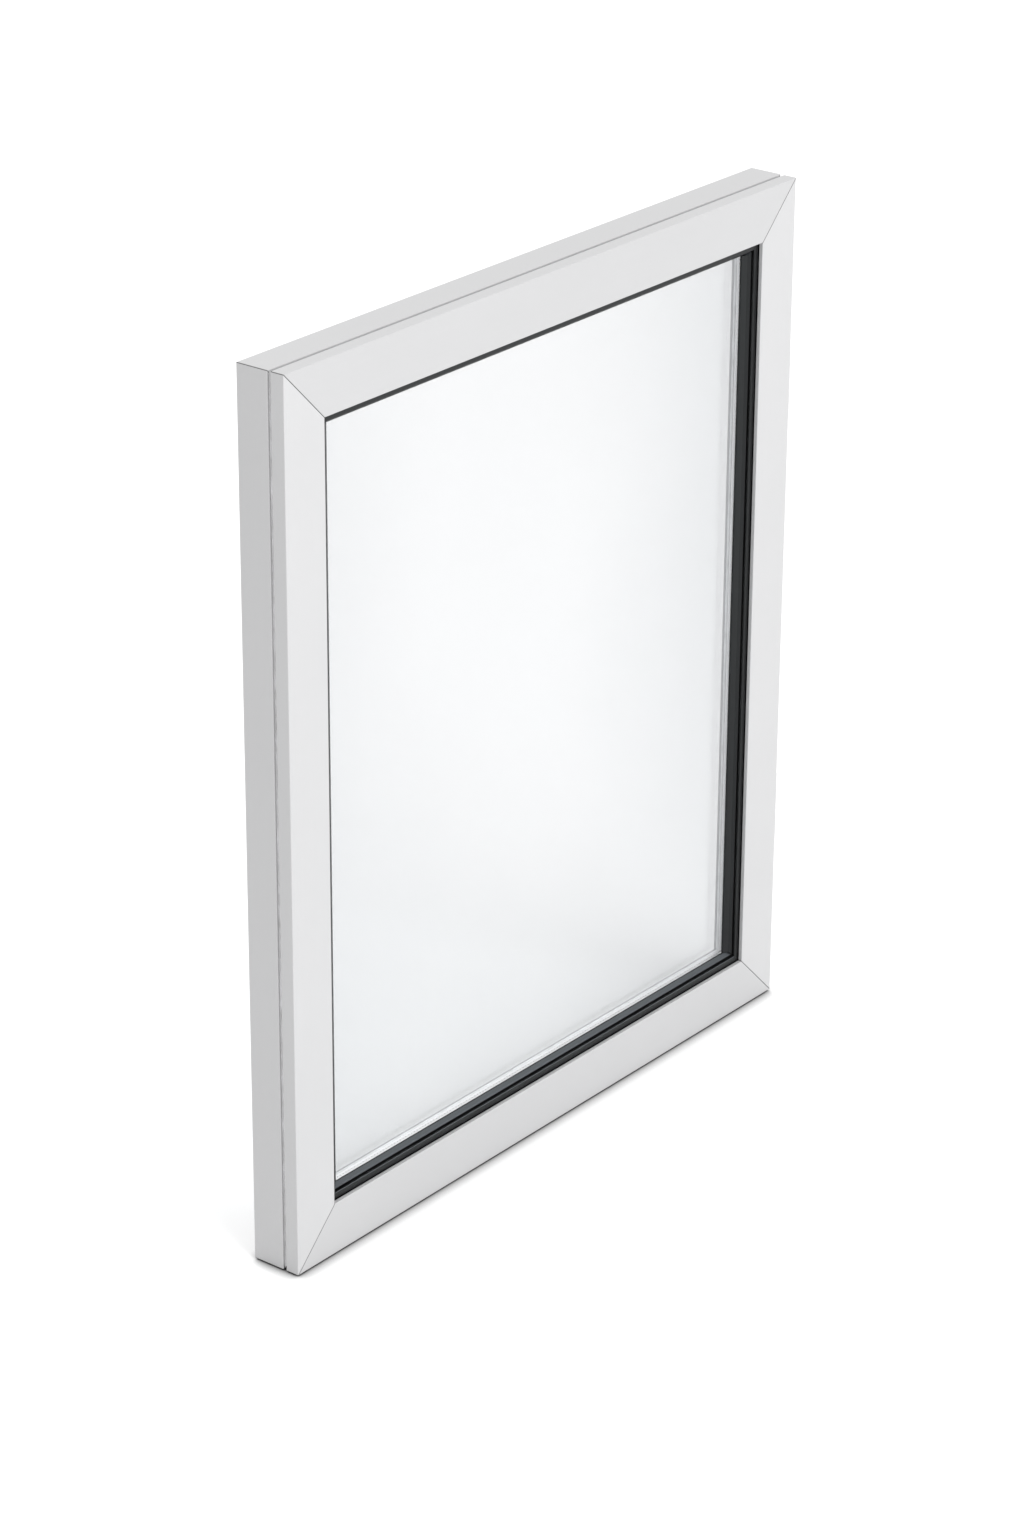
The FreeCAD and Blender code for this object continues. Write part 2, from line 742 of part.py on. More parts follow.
def at_depth(edge, depth):
    """True if the whole edge lies at this depth."""
    return abs(edge.BoundBox.YMin - y_at(depth)) < 0.01 and abs(edge.BoundBox.YMax - y_at(depth)) < 0.01


def square_bar(depths, half):
    low = handle_point(depths[0], -half, -half)
    return Part.makeBox(2 * half, depths[1] - depths[0], 2 * half, low)


def handle_lever():
    """Journal, neck and a rounded grip that points along +X when the window is unlocked."""
    journal = rod(handle_point(LEAF_ROOM + 0.5), handle_point(BASE_BACK + 2), JOURNAL)
    neck = rod(handle_point(BASE_BACK + 0.4), handle_point(GRIP_FRONT + 5), NECK_RADIUS)
    corners = [(-7, -8, 6.0), (GRIP_LENGTH, -6.5, 5.0), (GRIP_LENGTH, 6.5, 5.0), (-7, 8, 6.0)]
    wire = outline_wire(corners, lambda dx, dz: handle_point(GRIP_FRONT, dx, dz))
    grip = Part.Face(wire).extrude(Y * (GRIP_BACK - GRIP_FRONT))
    rims = [edge for edge in grip.Edges if at_depth(edge, GRIP_FRONT) or at_depth(edge, GRIP_BACK)]
    grip = grip.makeFillet(GRIP_ROUND, rims)
    lever = grip.fuse([journal, neck])
    return lever.cut(square_bar((LEAF_ROOM, SOCKET_END), SPINDLE_HALF)).removeSplitter().Solids[0]


def spindle():
    return square_bar((HUB_DEPTHS[0] + 0.4, SOCKET_END), SPINDLE_HALF)


def involute_angle(radius):
    """Polar angle of the involute of the pinion's base circle at this radius."""
    base = PINION_RADIUS * math.cos(PRESSURE_ANGLE)
    roll = math.sqrt(max((radius / base) ** 2 - 1, 0.0))
    return roll - math.atan(roll)


def pinion_outline():
    """Points round the toothed outline. One tooth points along -X."""
    base = PINION_RADIUS * math.cos(PRESSURE_ANGLE)
    root = PINION_RADIUS - 1.25 * MODULE
    tip = PINION_RADIUS + MODULE
    half_tooth = (math.pi * MODULE / 2 - BACKLASH / 2) / (2 * PINION_RADIUS)
    radii = [base + (tip - base) * i / 5 for i in range(6)]
    flank = [(root, half_tooth + involute_angle(PINION_RADIUS))]
    for radius in radii:
        flank.append((radius, half_tooth + involute_angle(PINION_RADIUS) - involute_angle(radius)))
    points = []
    for tooth in range(PINION_TEETH):
        middle = math.pi + 2 * math.pi * tooth / PINION_TEETH
        for radius, away in flank:
            points.append((radius, middle - away))
        for radius, away in reversed(flank):
            points.append((radius, middle + away))
    return points


def pinion():
    points = []
    for radius, angle in pinion_outline():
        points.append(handle_point(GEAR_FRONT, radius * math.cos(angle), radius * math.sin(angle)))
    gear = polygon_solid(points, Y * (GEAR_BACK - GEAR_FRONT))
    hub = rod(handle_point(HUB_DEPTHS[0]), handle_point(HUB_DEPTHS[1]), HUB_RADIUS)
    socket = square_bar((HUB_DEPTHS[0] - 1, HUB_DEPTHS[1] + 1), SPINDLE_HALF)
    return gear.fuse(hub).cut(socket).removeSplitter().Solids[0]


def rack_outline():
    """(inset, height) points of the rack. A space is level with the handle's axis at rest."""
    pitch_line = HANDLE_INSET - PINION_RADIUS
    root = pitch_line - 1.25 * MODULE
    tip = pitch_line + MODULE
    pitch = math.pi * MODULE
    half = pitch / 4 - BACKLASH / 4
    low = HANDLE_Z - RACK_LENGTH / 2
    high = HANDLE_Z + RACK_LENGTH / 2
    points = [(RAIL_IN, low), (root, low)]
    count = int(RACK_LENGTH / pitch / 2)
    for tooth in range(-count, count):
        middle = HANDLE_Z + (tooth + 0.5) * pitch
        lean_root = (pitch_line - root) * math.tan(PRESSURE_ANGLE)
        lean_tip = (tip - pitch_line) * math.tan(PRESSURE_ANGLE)
        points.append((root, middle - half - lean_root))
        points.append((tip, middle - half + lean_tip))
        points.append((tip, middle + half - lean_tip))
        points.append((root, middle + half + lean_root))
    points += [(root, high), (RAIL_IN, high)]
    return points


def drive_rail():
    bar = block("left", (RAIL_START, RAIL_END), (RAIL_OUT, RAIL_IN), RAIL_DEPTHS)
    points = [spot("left", height, inset, GEAR_FRONT) for inset, height in rack_outline()]
    rack = polygon_solid(points, Y * (GEAR_BACK - GEAR_FRONT))
    return bar.fuse(rack).removeSplitter()


def cam_rollers():
    rollers = []
    for height in CAM_HEIGHTS.values():
        tip = spot("left", height, CAM_TIP, CAM_DEPTH)
        root = spot("left", height, RAIL_OUT, CAM_DEPTH)
        roller = rod(tip, root, CAM_RADIUS)
        roller = roller.makeChamfer(0.6, [roller.Edges[0], roller.Edges[2]])
        rollers.append(roller)
    return group(rollers)


CASE_INSETS = (34.0, 61.0)
CASE_DEPTHS = (27.0, 44.4)
CASE_HALF_HEIGHT = 42.0
GEAR_ROOM = (GEAR_FRONT - 0.5, GEAR_BACK + 0.5)  # depths of the hollow for the gears
GEAR_ROOM_RADIUS = PINION_RADIUS + MODULE + 0.6
RACK_ROOM_END = 42.6


def lock_case():
    """The gearbox's shell: a block with room for the pinion and the rack, open towards the rail."""
    reach = (HANDLE_Z - CASE_HALF_HEIGHT, HANDLE_Z + CASE_HALF_HEIGHT)
    case = block("left", reach, CASE_INSETS, CASE_DEPTHS)
    low = HANDLE_Z - RACK_LENGTH / 2 - 1
    high = HANDLE_Z + RACK_LENGTH / 2 + RAIL_TRAVEL + 1
    rack_room = block("left", (low, high), (CASE_INSETS[0] - 1, RACK_ROOM_END), GEAR_ROOM)
    pinion_room = rod(handle_point(GEAR_ROOM[0]), handle_point(GEAR_ROOM[1]), GEAR_ROOM_RADIUS)
    hub_start = handle_point(CASE_DEPTHS[0] - 1)
    hub_room = rod(hub_start, handle_point(CASE_DEPTHS[1] + 1), HUB_RADIUS + RUNNING)
    case = case.cut(rack_room).cut(pinion_room).cut(hub_room)
    return case.cut(group(handle_screw_set(screw_hole))).Solids[0]


KEEP_PLATE = 1.5
KEEP_PAD = KEEP_PLATE + 0.7  # thickness round each screw
KEEP_PAD_RADIUS = 5.0
KEEP_SCREW_OFFSETS = (-6.0, 34.0)
KEEP_REACH = (-12.0, 40.0)
KEEP_DEPTHS = (25.0, 46.0)
TONGUE_DEPTHS = (27.0, 29.5, 31.5)
TONGUE_REACH = 28.4
TONGUE_LOW = 6.0
TONGUE_HIGH = 22.0


def keep_screw_set(make):
    screws = []
    for height in CAM_HEIGHTS.values():
        for offset in KEEP_SCREW_OFFSETS:
            place = spot("left", height + offset, FRAME_TUBE + KEEP_PAD, CAM_DEPTH)
            screws.append(make(place, X * -1, 10.0, 1.8, 3.4))
    return screws


def keep(height):
    """A plate on the jamb whose tongue stops the cam once the rail is raised."""
    plate_insets = (FRAME_TUBE, FRAME_TUBE + KEEP_PLATE)
    plate_reach = (height + KEEP_REACH[0], height + KEEP_REACH[1])
    plate = block("left", plate_reach, plate_insets, KEEP_DEPTHS)
    pads = []
    for offset in KEEP_SCREW_OFFSETS:
        centre = spot("left", height + offset, FRAME_TUBE, CAM_DEPTH)
        pads.append(rod(centre, centre + X * KEEP_PAD, KEEP_PAD_RADIUS))
    front, chamfer, back = TONGUE_DEPTHS
    corners = [
        (height + TONGUE_LOW, front),
        (height + TONGUE_HIGH, front),
        (height + TONGUE_HIGH, back),
        (height + TONGUE_LOW + 4, back),
        (height + TONGUE_LOW, chamfer),
    ]
    points = [spot("left", along, FRAME_TUBE, depth) for along, depth in corners]
    tongue = polygon_solid(points, X * (TONGUE_REACH - FRAME_TUBE))
    body = plate.fuse([tongue, *pads]).cut(group(keep_screw_set(screw_hole)))
    return body.removeSplitter().Solids[0]


# All sub-parts

CLEAT_REACH = {"frame": 50.0, "leaf": 110.0}
FRAME_CLEAT_BACK = 50.0
LEAF_CLEAT_BACK = 44.0


def frame_nodes():
    nodes = {
        "frame_sill": frame_member("bottom"),
        "frame_head": frame_member("top"),
        "frame_left_jamb": frame_member("left"),
        "frame_right_jamb": frame_member("right"),
        "frame_corner_cleats": corner_cleats(
            (WALL, FRAME_TUBE - WALL), (FRAME_FRONT + WALL, FRAME_CLEAT_BACK), CLEAT_REACH["frame"]
        ),
        "frame_outer_seal": outer_seal(),
        "frame_inner_seal": inner_seal(),
        "hinge_frame_screws": group(frame_wing_screws(screw)),
        "keep_screws": group(keep_screw_set(screw)),
        "stay_track": stay_track(),
        "stay_track_screws": group(track_screw_set(track_screw)),
    }
    for name, height in CAM_HEIGHTS.items():
        nodes[name + "_keep"] = keep(height)
    for name, centre in HINGE_HEIGHTS.items():
        nodes[name + "_hinge_frame_wing"] = frame_wing(centre)
        nodes[name + "_hinge_pin"] = hinge_pin(centre)
    return nodes


def leaf_nodes():
    nodes = {
        "leaf_bottom_rail": leaf_member("bottom"),
        "leaf_top_rail": leaf_member("top"),
        "leaf_lock_stile": leaf_member("left"),
        "leaf_hinge_stile": leaf_member("right"),
        "leaf_corner_cleats": corner_cleats(
            (LEAF_TUBE + WALL, SPLAY - WALL), (LEAF_BACK + WALL, LEAF_CLEAT_BACK), CLEAT_REACH["leaf"]
        ),
        "outer_glazing_gasket": outer_gasket(),
        "outer_pane": pane(PANE_FRONT),
        "inner_pane": pane(INNER_PANE_FRONT),
        "spacer_bar": ring((SPACER_OUT, SPACER_IN), (PANE_FRONT + PANE, INNER_PANE_FRONT)),
        "edge_sealant": ring((GLASS_EDGE + 0.6, SPACER_OUT), (PANE_FRONT + PANE, INNER_PANE_FRONT)),
        "inner_glazing_gasket": ring((REBATE + 0.5, FLANGE - 0.5), (GLASS_BACK, FLANGE_FRONT)),
        "setting_blocks": setting_blocks(),
        "hinge_bushes": hinge_bushes(),
        "hinge_leaf_screws": group(leaf_wing_screws(screw)),
        "stay_leaf_bracket": stay_bracket(),
        "stay_leaf_rivet": stay_rivet(),
        "stay_bracket_screws": group(bracket_screw_set(screw)),
        "handle_base": handle_base(),
        "handle_screws": group(handle_screw_set(screw)),
        "lock_case": lock_case(),
    }
    for side in SIDES:
        nodes["outer_glazing_bead_" + side] = outer_bead(side)
    for name, centre in HINGE_HEIGHTS.items():
        nodes[name + "_hinge_leaf_wing"] = leaf_wing(centre)
    return nodes


def moving_nodes():
    return {
        "handle_lever": handle_lever(),
        "handle_spindle": spindle(),
        "lock_pinion": pinion(),
        "drive_rail": drive_rail(),
        "cam_rollers": cam_rollers(),
        "stay_arm": stay_arm(),
        "stay_slider": stay_slider(),
    }


def main():
    os.makedirs("parts", exist_ok=True)
    for nodes in (frame_nodes(), leaf_nodes(), moving_nodes()):
        for name, shape in nodes.items():
            shape.exportStep(os.path.join("parts", name + ".step"))
            print(name, len(shape.Solids), round(shape.Volume), shape.isValid())


main()
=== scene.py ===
import json
import math

import bmesh
import bpy
from mathutils import Matrix, Vector


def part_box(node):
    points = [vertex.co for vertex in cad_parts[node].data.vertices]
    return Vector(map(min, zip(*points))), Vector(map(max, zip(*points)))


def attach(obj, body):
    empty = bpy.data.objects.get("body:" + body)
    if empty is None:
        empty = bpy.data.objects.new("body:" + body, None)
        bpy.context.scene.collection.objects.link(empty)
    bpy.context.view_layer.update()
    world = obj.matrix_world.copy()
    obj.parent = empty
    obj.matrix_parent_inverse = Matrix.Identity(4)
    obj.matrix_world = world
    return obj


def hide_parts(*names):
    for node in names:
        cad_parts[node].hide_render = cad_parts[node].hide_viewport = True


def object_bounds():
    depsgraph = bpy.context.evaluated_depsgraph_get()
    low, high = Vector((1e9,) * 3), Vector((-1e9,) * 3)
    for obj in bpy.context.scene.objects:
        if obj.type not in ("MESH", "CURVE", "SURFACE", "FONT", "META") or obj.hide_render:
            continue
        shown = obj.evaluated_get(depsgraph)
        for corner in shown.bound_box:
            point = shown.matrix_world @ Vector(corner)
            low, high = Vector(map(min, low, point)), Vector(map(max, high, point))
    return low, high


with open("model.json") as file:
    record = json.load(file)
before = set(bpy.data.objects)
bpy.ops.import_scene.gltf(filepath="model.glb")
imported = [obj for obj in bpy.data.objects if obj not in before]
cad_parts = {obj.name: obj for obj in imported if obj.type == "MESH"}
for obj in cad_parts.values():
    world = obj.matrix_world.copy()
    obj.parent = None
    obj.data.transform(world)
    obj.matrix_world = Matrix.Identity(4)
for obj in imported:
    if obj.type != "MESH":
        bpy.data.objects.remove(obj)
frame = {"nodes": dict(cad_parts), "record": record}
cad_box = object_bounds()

NODES = frame["nodes"]
SLOTS = {row["node"]: row["material_slot"] for row in frame["record"]["subparts"]}


# Node helpers


MIX_FIRST = 6  # the Mix node's colour sockets
MIX_SECOND = 7
MIX_RESULT = 2


class Nodes:
    """Builds one material's node tree. Object coordinates are metres in the CAD frame."""

    def __init__(self, name):
        self.material = bpy.data.materials.new(name)
        self.material.use_nodes = True
        self.tree = self.material.node_tree
        self.tree.nodes.clear()
        self.output = self.tree.nodes.new("ShaderNodeOutputMaterial")
        self.place = self.tree.nodes.new("ShaderNodeTexCoord").outputs["Object"]

    def add(self, kind, **inputs):
        """A new node, with its inputs set or linked by name."""
        node = self.tree.nodes.new(kind)
        for key, value in inputs.items():
            self.put(node.inputs[key.replace("_", " ")], value)
        return node

    def put(self, socket, value):
        """Links the socket to another node's output, or sets its value."""
        if isinstance(value, bpy.types.NodeSocket):
            self.tree.links.new(value, socket)
        else:
            socket.default_value = value

    def scaled(self, scale):
        """The object coordinates times (x, y, z), which stretches a texture."""
        mapping = self.add("ShaderNodeMapping", Vector=self.place)
        mapping.inputs["Scale"].default_value = scale
        return mapping.outputs["Vector"]

    def noise(self, scale, detail=2.0, roughness=0.5, place=None):
        return self.add(
            "ShaderNodeTexNoise",
            Vector=place or self.place,
            Scale=scale,
            Detail=detail,
            Roughness=roughness,
        ).outputs["Fac"]

    def spread(self, value, low, high, start=0.3, end=0.7):
        """Maps a texture's value from start..end to low..high."""
        node = self.add("ShaderNodeMapRange", Value=value)
        for socket, number in zip(node.inputs[1:5], (start, end, low, high)):
            socket.default_value = number
        return node.outputs["Result"]

    def blend(self, share, first, second):
        """A colour between first and second."""
        node = self.tree.nodes.new("ShaderNodeMix")
        node.data_type = "RGBA"
        self.put(node.inputs["Factor"], share)
        self.put(node.inputs[MIX_FIRST], first)
        self.put(node.inputs[MIX_SECOND], second)
        return node.outputs[MIX_RESULT]

    def math(self, operation, first, second=0.0):
        node = self.tree.nodes.new("ShaderNodeMath")
        node.operation = operation
        self.put(node.inputs[0], first)
        self.put(node.inputs[1], second)
        return node.outputs[0]

    def bump(self, height, distance, strength=1.0, normal=None):
        node = self.add("ShaderNodeBump", Height=height, Distance=distance, Strength=strength)
        if normal is not None:
            self.put(node.inputs["Normal"], normal)
        return node.outputs["Normal"]

    def principled(self, colour, roughness, normal=None, **plain):
        shader = self.tree.nodes.new("ShaderNodeBsdfPrincipled")
        self.put(shader.inputs["Base Color"], colour)
        self.put(shader.inputs["Roughness"], roughness)
        if normal is not None:
            self.put(shader.inputs["Normal"], normal)
        for key, value in plain.items():
            shader.inputs[key.replace("_", " ")].default_value = value
        return shader

    def finish(self, shader):
        self.tree.links.new(shader.outputs[0], self.output.inputs["Surface"])
        return self.material


def grey(value, warm=0.0, blue=0.0):
    """A grey colour, with its red and blue raised by a share."""
    return (value * (1 + warm), value, value * (1 + blue), 1.0)


# The window's own sizes, in metres

HALF_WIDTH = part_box("frame_sill")[1][0]
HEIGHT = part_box("frame_left_jamb")[1][2]


# Materials

COAT_GREY = 0.40  # linear reflectance of the light grey powder coat
RAIL_SHADED_GREY = 0.375  # painted shade: the rails' coat is a little darker than the stiles' to stand in for the duller light on them
COAT_TINT = 0.012  # how much the coat leans to blue
# Painted shade: a dark line across each mitred corner stands in for the shade in the joint's hairline gap.
SEAM_HALF = 0.0005  # the mitre line's half width
SEAM_FADE = 0.0011  # where it has faded out
SEAM_SHADE_GREY = 0.14


def mitre_gap_shade(nodes):
    """Painted shade: 1 on the joint line at each corner, where the two mitred ends meet, and 0 elsewhere.
    """
    split = nodes.add("ShaderNodeSeparateXYZ", Vector=nodes.place)
    from_side = nodes.math("SUBTRACT", HALF_WIDTH, nodes.math("ABSOLUTE", split.outputs["X"]))
    from_middle = nodes.math("ABSOLUTE", nodes.math("SUBTRACT", split.outputs["Z"], HEIGHT / 2))
    from_end = nodes.math("SUBTRACT", HEIGHT / 2, from_middle)
    apart = nodes.math("ABSOLUTE", nodes.math("SUBTRACT", from_side, from_end))
    return nodes.spread(apart, 1.0, 0.0, SEAM_HALF, SEAM_FADE)


def powder_coat(name, along, value=COAT_GREY, seam=False):
    """Satin powder coat: fine grain, faint orange peel and faint draw lines along the extrusion, and with
    seam a painted shade line across the mitres.
    """
    nodes = Nodes(name)
    stretch = tuple(0.02 if axis == along else 1.0 for axis in "xyz")
    lines = nodes.noise(420.0, 3.0, 0.6, nodes.scaled(stretch))
    cloud = nodes.noise(7.0, 2.0)
    grain = nodes.noise(2600.0, 2.0, 0.6)
    peel = nodes.noise(520.0, 1.0)
    share = nodes.math("ADD", nodes.spread(cloud, 0.0, 0.7), nodes.spread(lines, 0.0, 0.3))
    colour = nodes.blend(share, grey(value * 0.985, 0.0, COAT_TINT), grey(value * 1.012, 0.0, COAT_TINT))
    # painted shade along the mitre joints
    if seam:
        colour = nodes.blend(mitre_gap_shade(nodes), colour, grey(SEAM_SHADE_GREY))
    rough = nodes.math("ADD", nodes.spread(cloud, 0.32, 0.37), nodes.spread(grain, -0.04, 0.04))
    normal = nodes.bump(peel, 0.00004, 0.35)
    normal = nodes.bump(grain, 0.00003, 0.45, normal)
    normal = nodes.bump(lines, 0.00002, 0.2, normal)
    return nodes.finish(nodes.principled(colour, rough, normal, IOR=1.5))


def bare_aluminium(name, along="z", value=0.62):
    """Mill-finish aluminium with fine brushed lines along one axis."""
    nodes = Nodes(name)
    stretch = tuple(0.03 if axis == along else 1.0 for axis in "xyz")
    lines = nodes.noise(1500.0, 4.0, 0.7, nodes.scaled(stretch))
    cloud = nodes.noise(30.0, 3.0)
    colour = nodes.blend(nodes.spread(cloud, 0.0, 1.0), grey(value * 0.9), grey(value * 1.06))
    rough = nodes.math("ADD", nodes.spread(lines, 0.24, 0.4), nodes.spread(cloud, -0.03, 0.03))
    normal = nodes.bump(lines, 0.00003, 0.3)
    return nodes.finish(nodes.principled(colour, rough, normal, Metallic=1.0))


SPACER_DEPTH = 0.004  # the bar's height, from its outer edge to its inner one
HOLE_PITCH = 0.005
HOLE_HALF = 0.0006
HOLE_SHADE_GREY = 0.05
SPACER_VALUE = 0.95


def perforated_spacer(name):
    """Mill-finish spacer bar with a row of fine breathing holes along its middle, coloured near black as
    painted shade inside them.
    """
    low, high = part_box("spacer_bar")
    nodes = Nodes(name)
    split = nodes.add("ShaderNodeSeparateXYZ", Vector=nodes.place)
    across = nodes.math("ABSOLUTE", split.outputs["X"])
    on_rail = nodes.math("LESS_THAN", across, high[0] - 2 * SPACER_DEPTH)
    along_rail = nodes.math("MULTIPLY", split.outputs["X"], on_rail)
    along_stile = nodes.math("MULTIPLY", split.outputs["Z"], nodes.math("SUBTRACT", 1.0, on_rail))
    step = nodes.math("PINGPONG", nodes.math("ADD", along_rail, along_stile), HOLE_PITCH / 2)
    aside = nodes.math("ABSOLUTE", nodes.math("SUBTRACT", split.outputs["Y"], (low[1] + high[1]) / 2))
    reach = nodes.math("MAXIMUM", step, aside)
    hole = nodes.spread(reach, 1.0, 0.0, HOLE_HALF * 0.8, HOLE_HALF)
    lines = nodes.noise(1500.0, 4.0, 0.7)
    colour = nodes.blend(nodes.spread(lines, 0.0, 1.0), grey(SPACER_VALUE * 0.95), grey(SPACER_VALUE))
    # painted shade: the holes are coloured near black for the shade inside them
    colour = nodes.blend(hole, colour, grey(HOLE_SHADE_GREY))
    rough = nodes.spread(lines, 0.26, 0.4)
    normal = nodes.bump(nodes.math("SUBTRACT", 1.0, hole), 0.0004, 0.8)
    return nodes.finish(nodes.principled(colour, rough, normal, Metallic=1.0))


RUBBER_ROUGH = 0.62


def rubber(name, value):
    """Extruded rubber: matt, with a dusty bloom and fine pores."""
    nodes = Nodes(name)
    bloom = nodes.noise(45.0, 4.0, 0.6)
    pores = nodes.noise(2250.0, 2.0, 0.7)
    colour = nodes.blend(nodes.spread(bloom, 0.0, 1.0), grey(value * 0.85), grey(value * 1.25, 0, 0.02))
    roughness = nodes.spread(bloom, RUBBER_ROUGH - 0.05, RUBBER_ROUGH + 0.08)
    normal = nodes.bump(pores, 0.00004, 0.5)
    return nodes.finish(nodes.principled(colour, roughness, normal, IOR=1.5))


BEAD_SPECULAR = 0.28
BEAD_SHEEN_TINT = (0.92, 0.98, 1.0, 1.0)
BEAD_TOP_LIGHT = 0.07  # painted light: the faces that look up are coloured lighter, as if lit from above


def black_bead(name, value=0.003):
    """Extruded black polyamide: satin, with a fine glass-fibre grain, and painted light on the faces that
    look up.
    """
    nodes = Nodes(name)
    grain = nodes.noise(1800.0, 3.0, 0.65)
    cloud = nodes.noise(22.0, 3.0)
    colour = nodes.blend(
        nodes.spread(cloud, 0.0, 1.0), grey(value * 0.85, 0, 0.04), grey(value * 1.2, 0, 0.06)
    )
    rough = nodes.math("ADD", nodes.spread(cloud, 0.30, 0.38), nodes.spread(grain, -0.04, 0.06))
    normal = nodes.bump(grain, 0.00003, 0.4)
    facing = nodes.tree.nodes.new("ShaderNodeNewGeometry").outputs["Normal"]
    upward = nodes.add("ShaderNodeSeparateXYZ", Vector=facing).outputs["Z"]
    # painted light on the faces that look up, while the groove's level floors stay black as painted shade
    lit_from_above = nodes.spread(upward, 0.0, 1.0, 0.3, 0.9)
    off_groove_floor = nodes.spread(upward, 1.0, 0.0, 0.96, 0.99)  # 0 on the level floors of the narrow groove, kept black as painted shade
    lit_from_above = nodes.math("MULTIPLY", lit_from_above, off_groove_floor)
    colour = nodes.blend(lit_from_above, colour, grey(BEAD_TOP_LIGHT, -0.08, 0.10))
    shader = nodes.principled(colour, rough, normal, IOR=1.5)
    shader.inputs["Specular IOR Level"].default_value = BEAD_SPECULAR
    shader.inputs["Specular Tint"].default_value = BEAD_SHEEN_TINT
    return nodes.finish(shader)


GLASS_CLEAR = (0.843, 0.847, 0.852, 1.0)
GLASS_SHADED_TINT = (0.782, 0.788, 0.796, 1.0)  # painted shade: the pane's tint away from its bright band
BRIGHT_BAND_CENTRE = -0.08  # x of the bright band's middle
GLASS_SHADOW = (0.93, 0.94, 0.945, 1.0)  # how much light a pane lets through


def pane_painted_shade(nodes):
    """Painted shade: 0 in the pane's bright band, rising to 1 away from it, with soft clouding."""
    split = nodes.add("ShaderNodeSeparateXYZ", Vector=nodes.place)
    across = nodes.math("SUBTRACT", split.outputs["X"], BRIGHT_BAND_CENTRE)
    across = nodes.math("MULTIPLY", across, 1 / HALF_WIDTH)
    away = nodes.math("MULTIPLY", across, across)
    cloud = nodes.spread(nodes.noise(2.0, 2.0, 0.4), -0.12, 0.12)
    return nodes.spread(nodes.math("ADD", away, cloud), 0.0, 1.0, 0.02, 0.85)


def clear_glass(name):
    """Clear float glass. Lamp light and bounced light pass straight through it, a little dimmed."""
    nodes = Nodes(name)
    wave = nodes.noise(3.0, 1.0)
    normal = nodes.bump(wave, 0.0004, 0.04)
    # painted shade: the tint darkens away from a bright band across the pane
    tint = nodes.blend(pane_painted_shade(nodes), GLASS_CLEAR, GLASS_SHADED_TINT)
    shader = nodes.principled(tint, 0.0, normal, IOR=1.5)
    shader.inputs["Transmission Weight"].default_value = 1.0
    clear = nodes.add("ShaderNodeBsdfTransparent", Color=GLASS_SHADOW)
    path = nodes.tree.nodes.new("ShaderNodeLightPath")
    passes = nodes.math("MAXIMUM", path.outputs["Is Shadow Ray"], path.outputs["Is Diffuse Ray"])
    mix = nodes.tree.nodes.new("ShaderNodeMixShader")
    nodes.put(mix.inputs[0], passes)
    nodes.tree.links.new(shader.outputs[0], mix.inputs[1])
    nodes.tree.links.new(clear.outputs[0], mix.inputs[2])
    return nodes.finish(mix)


def nylon(name, value=0.72):
    """Moulded nylon: off-white, slightly translucent, with a fine grain."""
    nodes = Nodes(name)
    cloud = nodes.noise(60.0, 3.0)
    grain = nodes.noise(1600.0, 2.0)
    colour = nodes.blend(nodes.spread(cloud, 0.0, 1.0), grey(value * 0.93, 0.02), grey(value, 0.03))
    rough = nodes.spread(grain, 0.4, 0.52)
    normal = nodes.bump(grain, 0.00004, 0.4)
    shader = nodes.principled(colour, rough, normal, IOR=1.52)
    shader.inputs["Subsurface Weight"].default_value = 0.15
    shader.inputs["Subsurface Scale"].default_value = 0.002
    return nodes.finish(shader)


def plated_steel(name, value=0.6, yellow=0.02):
    """Zinc-plated steel: cloudy spangle and tumbled scratches."""
    nodes = Nodes(name)
    cloud = nodes.noise(120.0, 4.0, 0.6)
    scratch = nodes.noise(2200.0, 3.0, 0.7)
    colour = nodes.blend(
        nodes.spread(cloud, 0.0, 1.0), grey(value * 0.86, yellow), grey(value * 1.05, yellow, 0.03)
    )
    rough = nodes.math("ADD", nodes.spread(cloud, 0.26, 0.4), nodes.spread(scratch, -0.04, 0.05))
    normal = nodes.bump(scratch, 0.00003, 0.35)
    return nodes.finish(nodes.principled(colour, rough, normal, Metallic=1.0))


def dress_frame():
    """Gives every CAD node its material by the record's slot."""
    by_slot = {
        "bare_aluminium": bare_aluminium("bare_aluminium"),
        "grey_seal": rubber("grey_seal", 0.60),
        "light_gasket": rubber("light_gasket", 0.88),
        "black_rubber": rubber("black_rubber", 0.012),
        "black_bead": black_bead("black_bead"),
        "clear_glass": clear_glass("clear_glass"),
        "spacer_aluminium": perforated_spacer("spacer_aluminium"),
        "sealant": rubber("sealant", 0.03),
        "nylon": nylon("nylon"),
        "coated_hardware": powder_coat("coated_hardware", "z"),
        "handle_finish": powder_coat("handle_finish", "x"),
        "cast_zinc": plated_steel("cast_zinc", 0.5),
        "bright_steel": plated_steel("bright_steel"),
    }
    coat = {
        # the rails' material carries painted shade, a little darker than the stiles'
        "x": powder_coat("coated_aluminium_rails", "x", RAIL_SHADED_GREY, seam=True),
        "z": powder_coat("coated_aluminium_stiles", "z", COAT_GREY, seam=True),
    }
    for name, node in NODES.items():
        slot = SLOTS[name]
        if slot == "coated_aluminium":
            low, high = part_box(name)
            material = coat["x" if high[0] - low[0] > high[2] - low[2] else "z"]
        else:
            material = by_slot[slot]
        node.data.materials.clear()
        node.data.materials.append(material)


